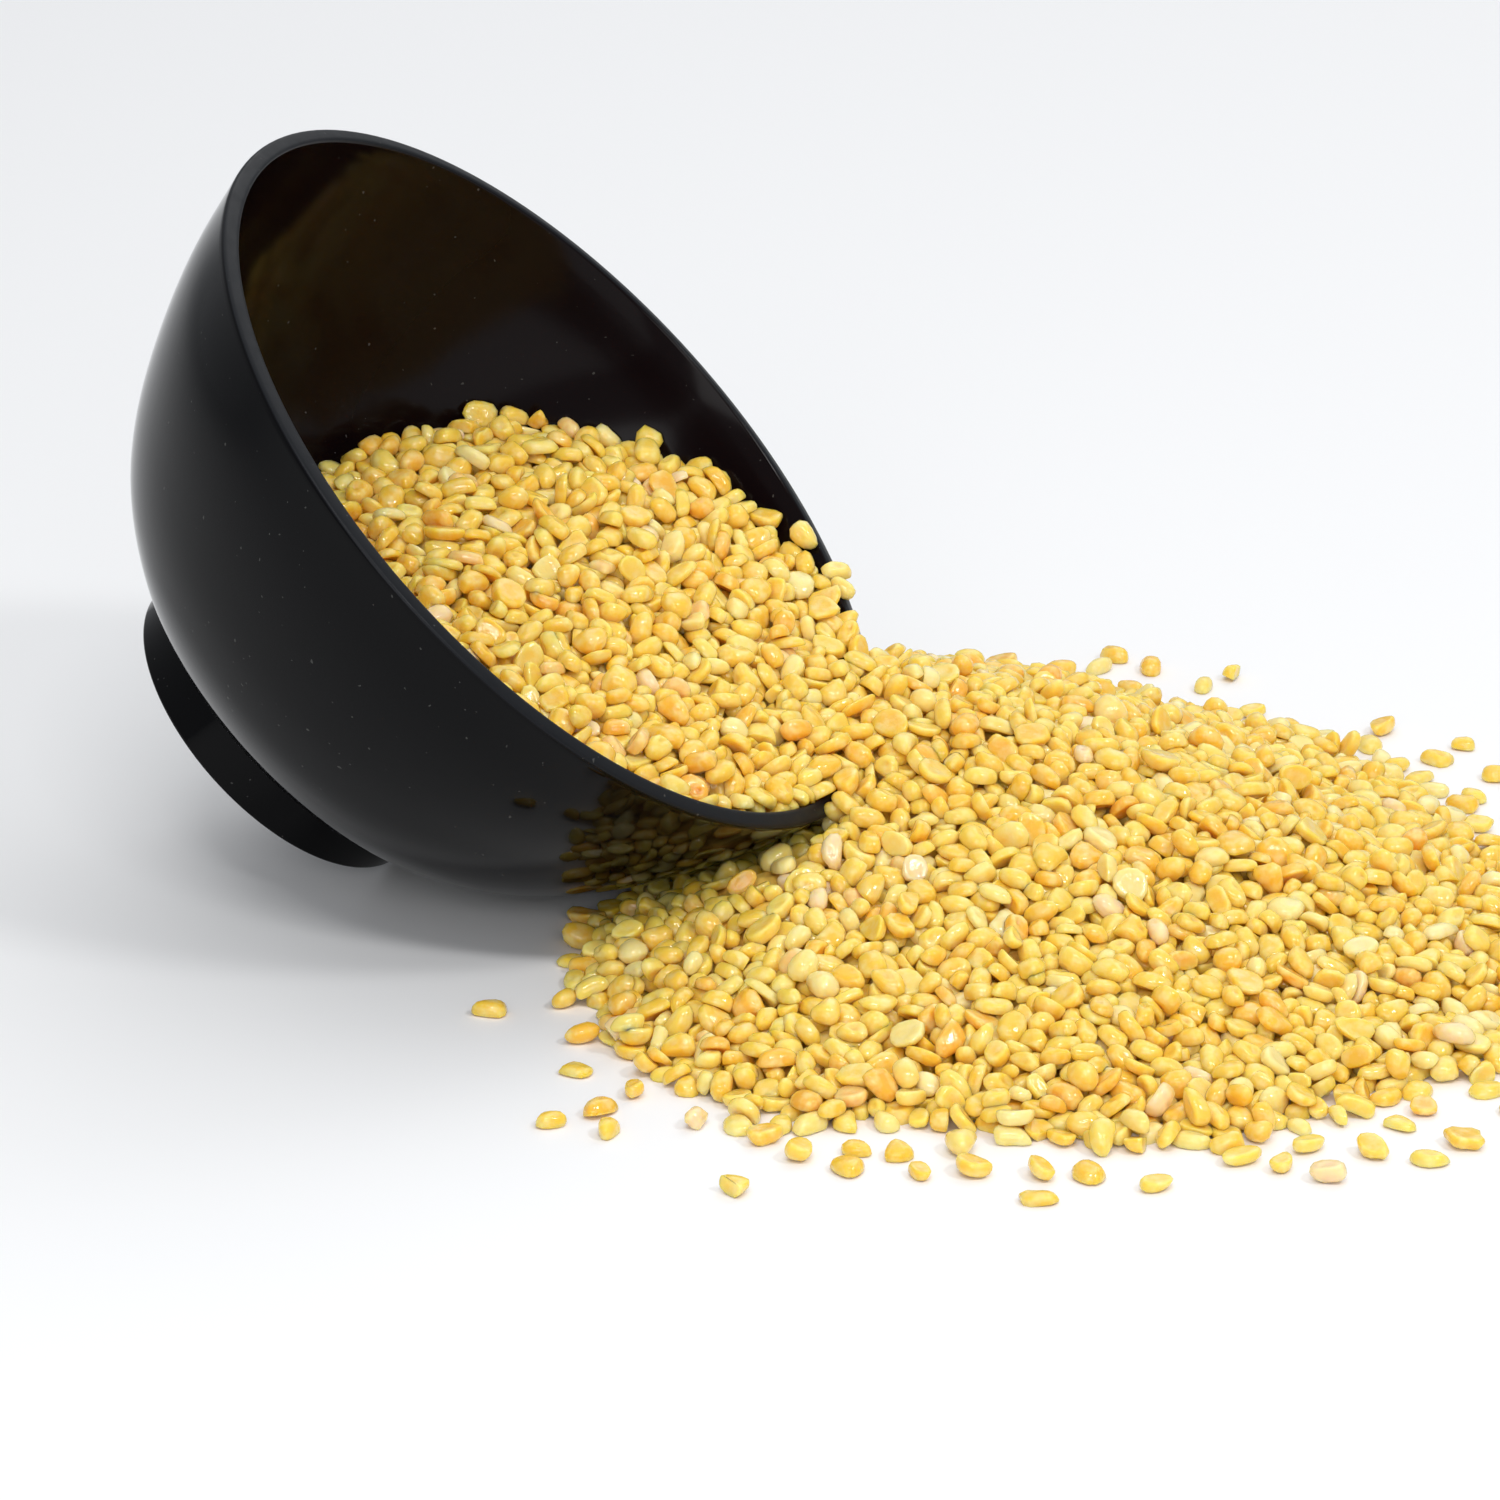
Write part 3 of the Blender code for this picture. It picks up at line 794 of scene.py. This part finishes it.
def oval_points(pick, rings, sides):
    """Rings of points in a wavy, squarish oval, before the oval is bent and scaled."""
    angles = 2 * math.pi * np.arange(sides) / sides
    width = np.array([ring[0] for ring in rings[1:-1]])
    height = np.array([ring[1] for ring in rings[1:-1]])
    power = pick["square"][:, None, None]
    cos, sin = np.cos(angles)[None, None, :], np.sin(angles)[None, None, :]
    outline = (np.abs(cos) ** power + np.abs(sin) ** power) ** (-1.0 / power)
    for number, (wave, turn) in enumerate(zip(pick["wave"].T, pick["turns"].T), start=2):
        swing = np.cos(number * angles[None, None, :] + turn[:, None, None])
        outline = outline * (1.0 + wave[:, None, None] * swing)
    x = outline * cos * width[None, :, None]
    y = outline * sin * width[None, :, None]
    z = np.broadcast_to(height[None, :, None], x.shape).copy()
    poles = np.zeros((len(x), 2, 3))
    poles[:, 0, 2], poles[:, 1, 2] = rings[0][1], rings[-1][1]
    body = np.stack([x, y, z], -1).reshape(len(x), -1, 3)
    return np.concatenate([poles[:, :1], body, poles[:, 1:]], 1)


def bean_points(drawn, chosen, rings, sides):
    """The points of the chosen beans, as an array of beans by points by x, y and z in mm."""
    pick = {key: value[chosen] for key, value in drawn.items()}
    points = oval_points(pick, rings, sides)
    low = points[:, :, 2] < 0.0
    if rings is SPLIT_RINGS:
        points[:, :, 2] = np.where(low, points[:, :, 2] * pick["hollow"][:, None],
                                   points[:, :, 2])
    across = points[:, :, 0].copy()
    away = ((points[:, :, :2] - pick["dimple"][:, None, :]) ** 2).sum(axis=2)
    points[:, :, 2] *= 1.0 - pick["dimple_depth"][:, None] * np.exp(-away / DIMPLE_WIDTH)
    points[:, :, 2] += pick["twist"][:, None] * across * points[:, :, 1]
    points[:, :, 1] *= 1.0 + pick["taper"][:, None] * across
    points[:, :, 1] += pick["bend"][:, None] * (across ** 2 - BEND_MIDDLE)
    points[:, :, :2] += pick["skew"][:, None, :] * np.maximum(points[:, :, 2:], 0.0)
    broken = pick["kind"] == "broken"
    edge = pick["cut"][:, None] + pick["cut_lean"][:, None] * points[:, :, 1]
    points[:, :, 0] = np.where(broken[:, None], np.minimum(points[:, :, 0], edge),
                               points[:, :, 0])
    return points * pick["half"][:, None, :]


def bean_faces(ring_count, sides):
    """Triangles of one bean, and for each corner its ring and side for the bake map."""
    faces, spots = [], []
    rings = ring_count - 2
    last = 1 + rings * sides
    for side in range(sides):
        after = (side + 1) % sides
        faces.append((0, 1 + side, 1 + after))
        spots.append(((0, side), (1, side), (1, side + 1)))
        for ring in range(rings - 1):
            a, b = 1 + ring * sides + side, 1 + ring * sides + after
            faces += [(a, a + sides, b), (b, a + sides, b + sides)]
            spots += [((ring + 1, side), (ring + 2, side), (ring + 1, side + 1)),
                      ((ring + 1, side + 1), (ring + 2, side), (ring + 2, side + 1))]
        base = 1 + (rings - 1) * sides
        faces.append((base + side, last, base + after))
        spots.append(((rings, side), (rings + 1, side), (rings, side + 1)))
    return np.array(faces), np.array(spots)


def bake_spots(spots, ring_count, equator, sides, count):
    """Each bean's own square on the bake map: its crown's half on the left, its base's right."""
    ring, side = spots[..., 0], spots[..., 1]
    angle = 2 * math.pi * side / sides
    upper = ring.max(axis=1, keepdims=True) <= equator
    reach = np.where(upper, ring / equator, (ring_count - 1 - ring) / (ring_count - 1 - equator))
    u = np.where(upper, 0.25, 0.75) + 0.22 * reach * np.cos(angle)
    v = 0.5 + 0.44 * reach * np.sin(angle)
    columns = math.ceil(math.sqrt(count / 2))
    rows = math.ceil(count / columns)
    cell = np.arange(count)
    u = (u[None] + (cell % columns)[:, None, None]) / columns
    v = (v[None] + (cell // columns)[:, None, None]) / rows
    return np.stack([u, v], -1)


def joined_mesh(name, points, faces, uv, tone):
    """One mesh of many beans, each with its own tone, painted light and shade included."""
    count, each = points.shape[:2]
    corners = (faces[None] + (np.arange(count) * each)[:, None, None]).reshape(-1)
    mesh = bpy.data.meshes.new(name)
    mesh.vertices.add(count * each)
    mesh.vertices.foreach_set("co", (points * MM).astype(np.float32).ravel())
    mesh.loops.add(len(corners))
    mesh.loops.foreach_set("vertex_index", corners.astype(np.int32))
    mesh.polygons.add(len(corners) // 3)
    mesh.polygons.foreach_set("loop_start", np.arange(0, len(corners), 3, dtype=np.int32))
    mesh.update(calc_edges=True)
    mesh.uv_layers.new(name=BAKE_MAP)
    mesh.uv_layers[BAKE_MAP].data.foreach_set("uv", uv.astype(np.float32).ravel())
    tint = mesh.attributes.new("tone", "FLOAT", "POINT")
    tint.data.foreach_set("value", np.repeat(tone, each).astype(np.float32))
    mesh.validate()
    mesh.shade_smooth()
    return mesh


def crosses(wall, place, points):
    """True if the wall runs between a bean's middle and any of its points."""
    reach = max(point.length for point in points) + WALL_ROOM
    if wall.find_nearest(place)[3] > reach:
        return False
    for point in points:
        ray = point * (1.0 + WALL_ROOM / point.length)
        if wall.ray_cast(place, ray.normalized(), ray.length)[0] is not None:
            return True
    return False


def first_turn(rng):
    """How a bean is held before it settles: mostly flat, either side up, some on edge."""
    tilt = ON_EDGE_TILT if rng.uniform() < ON_EDGE_SHARE else USUAL_TILT
    flip = math.pi if rng.uniform() < FLIPPED_SHARE else 0.0
    lean = Euler((flip + rng.normal(0.0, tilt), rng.normal(0.0, tilt), 0.0)).to_quaternion()
    return Quaternion((0.0, 0.0, 1.0), rng.uniform(0.0, 2 * math.pi)) @ lean


def hull_mesh(points):
    """A plain closed mesh of a bean's coarse points, for settling."""
    bm = bmesh.new()
    for point in points:
        bm.verts.new(point)
    bmesh.ops.convex_hull(bm, input=bm.verts)
    loose = [vert for vert in bm.verts if not vert.link_faces]
    bmesh.ops.delete(bm, geom=loose, context="VERTS")
    mesh = bpy.data.meshes.new("hull")
    bm.to_mesh(mesh)
    bm.free()
    return mesh


def add_rigid(things, kind, shape, friction):
    """Give things a rigid body each."""
    bpy.ops.object.select_all(action="DESELECT")
    for thing in things:
        thing.select_set(True)
    bpy.context.view_layer.objects.active = things[0]
    bpy.ops.rigidbody.objects_add(type=kind)
    for thing in things:
        body = thing.rigid_body
        body.collision_shape = shape
        body.use_margin = True
        body.collision_margin = SETTLE_MARGIN
        body.friction = friction
        body.restitution = 0.0
        body.linear_damping, body.angular_damping = SETTLE_DAMPING


def settle(hulls, places, turns, still):
    """Let the beans fall together under gravity, and return where each comes to lie."""
    scene = bpy.context.scene
    group = bpy.data.collections.new("settling")
    scene.collection.children.link(group)
    falling = []
    for hull, place, turn in zip(hulls, places, turns):
        thing = bpy.data.objects.new("falling", hull)
        thing.rotation_mode = "QUATERNION"
        thing.location = place
        thing.rotation_quaternion = turn
        group.objects.link(thing)
        falling.append(thing)
    fixed = []
    for mesh in still:
        thing = bpy.data.objects.new("still", mesh)
        group.objects.link(thing)
        fixed.append(thing)
    usual_gravity = tuple(scene.gravity)
    bpy.ops.rigidbody.world_add()
    world = scene.rigidbody_world
    world.substeps_per_frame = SETTLE_SUBSTEPS
    world.solver_iterations = SETTLE_ITERATIONS
    world.point_cache.frame_start = 1
    world.point_cache.frame_end = SETTLE_FRAMES + 1
    add_rigid(falling, "ACTIVE", "CONVEX_HULL", BEAN_FRICTION)
    add_rigid(fixed, "PASSIVE", "MESH", STILL_FRICTION)
    scene.gravity = (0.0, 0.0, -SETTLE_GRAVITY)
    for step in range(1, SETTLE_FRAMES + 1):
        scene.frame_set(step)
    depsgraph = bpy.context.evaluated_depsgraph_get()
    lying = [thing.evaluated_get(depsgraph).matrix_world.copy() for thing in falling]
    bpy.ops.rigidbody.world_remove()
    for thing in falling + fixed:
        bpy.data.objects.remove(thing, do_unlink=True)
    bpy.data.collections.remove(group)
    for mesh in list(hulls) + list(still):
        bpy.data.meshes.remove(mesh)
    scene.gravity = usual_gravity
    scene.frame_set(1)
    return lying


def scaled_copy(mesh):
    """A copy of a mesh in mm, for settling."""
    copy = mesh.copy()
    copy.transform(Matrix.Scale(1.0 / MM, 4))
    return copy


def square_mesh(name, reach, level):
    """A level square, as a floor."""
    mesh = bpy.data.meshes.new(name)
    corners = [(-reach, -reach, level), (reach, -reach, level), (reach, reach, level),
               (-reach, reach, level)]
    mesh.from_pydata(corners, [], [(0, 1, 2, 3)])
    return mesh


def tones(count, places, rng):
    """A tone for each bean, drawn at random and shifted as painted light and shade: paler out on
    the mound, deeper in and near the bowl.
    """
    # Painted light and shade: beans further out past the bowl are drawn paler, those within its
    # reach deeper
    out = np.clip((places[:, 0] - BOWL_HIGH.x / MM) / PAINTED_LIGHT_REACH, -0.6, 1.0)
    tone = rng.beta(*TONE_SHAPE, count) - PAINTED_LIGHT_SHIFT * out
    blush = rng.uniform(0.0, 1.0, count) < BLUSH_SHARE
    return np.where(blush, 1.0, np.clip(tone, 0.0, TONE_MOST))


def coarse_beans(drawn, count):
    """Each bean's points for settling, in fewer rings and sides."""
    coarse = bean_points(drawn, np.arange(count), SPLIT_RINGS[::2] + SPLIT_RINGS[-1:], HULL_SIDES)
    whole = np.flatnonzero(drawn["kind"] == "whole")
    coarse[whole] = bean_points(drawn, whole, WHOLE_RINGS[::2] + WHOLE_RINGS[-1:], HULL_SIDES)
    return coarse


def held_beans(places, coarse, wall, rng):
    """Turn each bean until it clears the wall. Those that never do are left out."""
    kept, starts, turns = [], [], []
    for i, place in enumerate(places):
        start = Vector(place)
        points = [Vector(point) for point in coarse[i]]
        for _ in range(HOLD_TRIES):
            turn = first_turn(rng)
            turned = [turn @ point for point in points]
            start.z = max(place[2], GROUND_GAP - min(point.z for point in turned))
            if not crosses(wall, start, turned):
                kept.append(i)
                starts.append(start)
                turns.append(turn)
                break
    return np.array(kept), starts, turns


def stayed(centres, heaped, heap):
    """Which beans came to lie on the part or near it. Only heaped ones must touch the heap."""
    low = np.array(PART_LOW / MM) - BOX_MARGIN
    high = np.array(PART_HIGH / MM) + BOX_MARGIN
    inside = np.all((centres > low) & (centres < high), axis=1) & (centres[:, 2] > LOST_BELOW)
    for i in np.flatnonzero(inside & heaped):
        inside[i] = heap.find_nearest(Vector(centres[i]))[3] < LOST_BEYOND
    return inside


def pour(beans):
    """Draw, place and settle the beans, and return them with where each lies, in mm."""
    rng = np.random.default_rng(beans.seed)
    heap = surface_of(heap_mesh(), 1.0 / MM)
    bowl_mesh = bpy.data.objects["black_bowl"].data
    core_mesh = bpy.data.objects["bean_core"].data
    wall = surface_of(bowl_mesh, 1.0 / MM)
    core = surface_of(core_mesh, 1.0 / MM)
    heaped = layered_places(heap, core, wall, rng)
    strays = stray_places(heap, wall, rng)
    places = heaped + strays
    drawn = draw_beans(beans, len(places), rng)
    coarse = coarse_beans(drawn, len(places))
    kept, starts, turns = held_beans(places, coarse, wall, rng)
    still = [scaled_copy(core_mesh), scaled_copy(bowl_mesh),
             square_mesh("ground", GROUND_REACH, 0.0)]
    lying = settle([hull_mesh(coarse[i]) for i in kept], starts, turns, still)
    poses = np.array([np.array(pose) for pose in lying])
    centres = poses[:, :3, 3]
    inside = stayed(centres, kept < len(heaped), heap)
    group = np.where(kept >= len(heaped), "loose", "mound")
    group[(group == "mound") & (below_rim(centres) > 0.0)] = "bowl"
    return drawn, kept[inside], poses[inside], group[inside], rng


def bean_piece(name, poured, chosen, look):
    """Join the chosen beans of one kind into one piece."""
    drawn, kept, poses, _, rng = poured
    kind = str(drawn["kind"][kept[chosen[0]]])
    rings = WHOLE_RINGS if kind == "whole" else SPLIT_RINGS
    points = bean_points(drawn, kept[chosen], rings, BEAN_SIDES)
    placed = np.einsum("bij,bpj->bpi", poses[chosen][:, :3, :3], points)
    placed += poses[chosen][:, None, :3, 3]
    faces, spots = bean_faces(len(rings), BEAN_SIDES)
    uv = bake_spots(spots, len(rings), EQUATOR[kind], BEAN_SIDES, len(chosen))
    tone = tones(len(chosen), poses[chosen][:, :3, 3], rng)
    add_piece(name, joined_mesh(name, placed, faces, uv, tone), "lentils", look)


class MUNG_OT_bowl(bpy.types.Operator):
    """Turn the black bowl and lay it down"""

    bl_idname = "mung.bowl"
    bl_label = "Bowl"

    def execute(self, context):
        bowl = context.scene.mung_bowl
        section, finish = without_doubles(*bowl_section(bowl))
        mesh = turned_mesh("black_bowl", section, finish, bowl_pose(bowl, section), BOWL_STEPS)
        add_piece("black_bowl", mesh, "bowl", black_plastic(bowl))
        return {"FINISHED"}


class MUNG_OT_core(bpy.types.Operator):
    """Make the core that the beans lie on"""

    bl_idname = "mung.core"
    bl_label = "Core"

    def execute(self, context):
        mesh = lowered_core(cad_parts["lentils"])
        add_piece("bean_core", mesh, "lentils", core_skin(context.scene.mung_beans))
        return {"FINISHED"}


class MUNG_OT_beans(bpy.types.Operator):
    """Pour and settle the beans, and join each kind into pieces"""

    bl_idname = "mung.beans"
    bl_label = "Beans"

    def execute(self, context):
        beans = context.scene.mung_beans
        poured = pour(beans)
        drawn, kept, poses, group, _ = poured
        look = bean_skin(beans)
        kinds = drawn["kind"][kept]
        each = len(bean_faces(len(SPLIT_RINGS), BEAN_SIDES)[0])
        for where in ("bowl", "mound", "loose"):
            for kind in ("split", "whole", "broken"):
                chosen = np.flatnonzero((group == where) & (kinds == kind))
                if not len(chosen):
                    continue
                chosen = chosen[np.argsort(poses[chosen][:, 1, 3], kind="stable")]
                parts = math.ceil(len(chosen) * each / MOST_TRIANGLES)
                for number, share in enumerate(np.array_split(chosen, parts), start=1):
                    ending = f"_{number}" if parts > 1 else ""
                    bean_piece(f"{kind}_beans_{where}{ending}", poured, share, look)
        return {"FINISHED"}


def area_light(name, place, target, size, power):
    """A soft white light that faces a point."""
    data = bpy.data.lights.new(name, "AREA")
    data.shape = "RECTANGLE"
    data.size, data.size_y = size
    data.energy = power
    light = bpy.data.objects.new(name, data)
    light.location = place
    light.rotation_euler = (Vector(target) - Vector(place)).to_track_quat("-Z", "Y").to_euler()
    bpy.context.scene.collection.objects.link(light)


def pale_floor(colour):
    """A plain matt floor, just under the part."""
    nodes = Nodes("pale_floor")
    nodes.constants(Base_Color=(*colour, 1.0), Roughness=0.75)
    mesh = square_mesh("pale_floor", FLOOR_REACH, FLOOR_LEVEL)
    mesh.materials.append(nodes.material)
    floor = bpy.data.objects.new("pale_floor", mesh)
    bpy.context.scene.collection.objects.link(floor)


def soft_sky():
    """Even light from all round."""
    world = bpy.data.worlds.new("soft_sky")
    world.use_nodes = True
    sky = world.node_tree.nodes["Background"]
    sky.inputs["Color"].default_value = SKY_COLOUR
    sky.inputs["Strength"].default_value = SKY_STRENGTH
    bpy.context.scene.world = world


class MUNG_OT_stage(bpy.types.Operator):
    """Add the pale floor, the soft light and the camera"""

    bl_idname = "mung.stage"
    bl_label = "Stage"

    def execute(self, context):
        scene = context.scene
        stage, bowl = scene.mung_stage, scene.mung_bowl
        pale_floor(stage.floor_colour)
        soft_sky()
        for light in LIGHTS:
            area_light(*light)
        section, _ = bowl_section(bowl)
        ground = bowl_pose(bowl, section).translation.copy()
        ground.z = 0.0
        aim = ground + Vector(stage.aim)
        back = Vector((0.0, -math.cos(stage.elevation), math.sin(stage.elevation)))
        data = bpy.data.cameras.new("camera")
        data.lens = stage.lens
        data.sensor_width = 36.0
        data.clip_start, data.clip_end = 0.01, 20.0
        camera = bpy.data.objects.new("camera", data)
        camera.location = aim + back * stage.distance
        camera.rotation_euler = (math.pi / 2 - stage.elevation, 0.0, 0.0)
        scene.collection.objects.link(camera)
        scene.camera = camera
        scene.view_settings.view_transform = "Standard"
        return {"FINISHED"}


class MUNG_PT_panel(bpy.types.Panel):
    """Lists what can be built"""

    bl_idname = "MUNG_PT_panel"
    bl_label = "Bowl of Mung Beans"
    bl_space_type = "VIEW_3D"
    bl_region_type = "UI"
    bl_category = "Mung Beans"

    def draw(self, context):
        for settings in ("mung_bowl", "mung_beans", "mung_stage"):
            box = self.layout.box()
            group = getattr(context.scene, settings)
            for name in group.__annotations__:
                box.prop(group, name)
        for operator in BUILD:
            self.layout.operator(operator.bl_idname)


BUILD = (MUNG_OT_bowl, MUNG_OT_core, MUNG_OT_beans, MUNG_OT_stage)
CLASSES = (BowlSettings, BeanSettings, StageSettings, *BUILD, MUNG_PT_panel)


def register():
    for made in CLASSES:
        bpy.utils.register_class(made)
    bpy.types.Scene.mung_bowl = PointerProperty(type=BowlSettings)
    bpy.types.Scene.mung_beans = PointerProperty(type=BeanSettings)
    bpy.types.Scene.mung_stage = PointerProperty(type=StageSettings)


def unregister():
    for name in ("mung_bowl", "mung_beans", "mung_stage"):
        delattr(bpy.types.Scene, name)
    for made in reversed(CLASSES):
        bpy.utils.unregister_class(made)


def main():
    register()
    bpy.ops.mung.bowl()
    bpy.ops.mung.core()
    bpy.ops.mung.beans()
    bpy.ops.mung.stage()


if __name__ == "__main__":
    main()
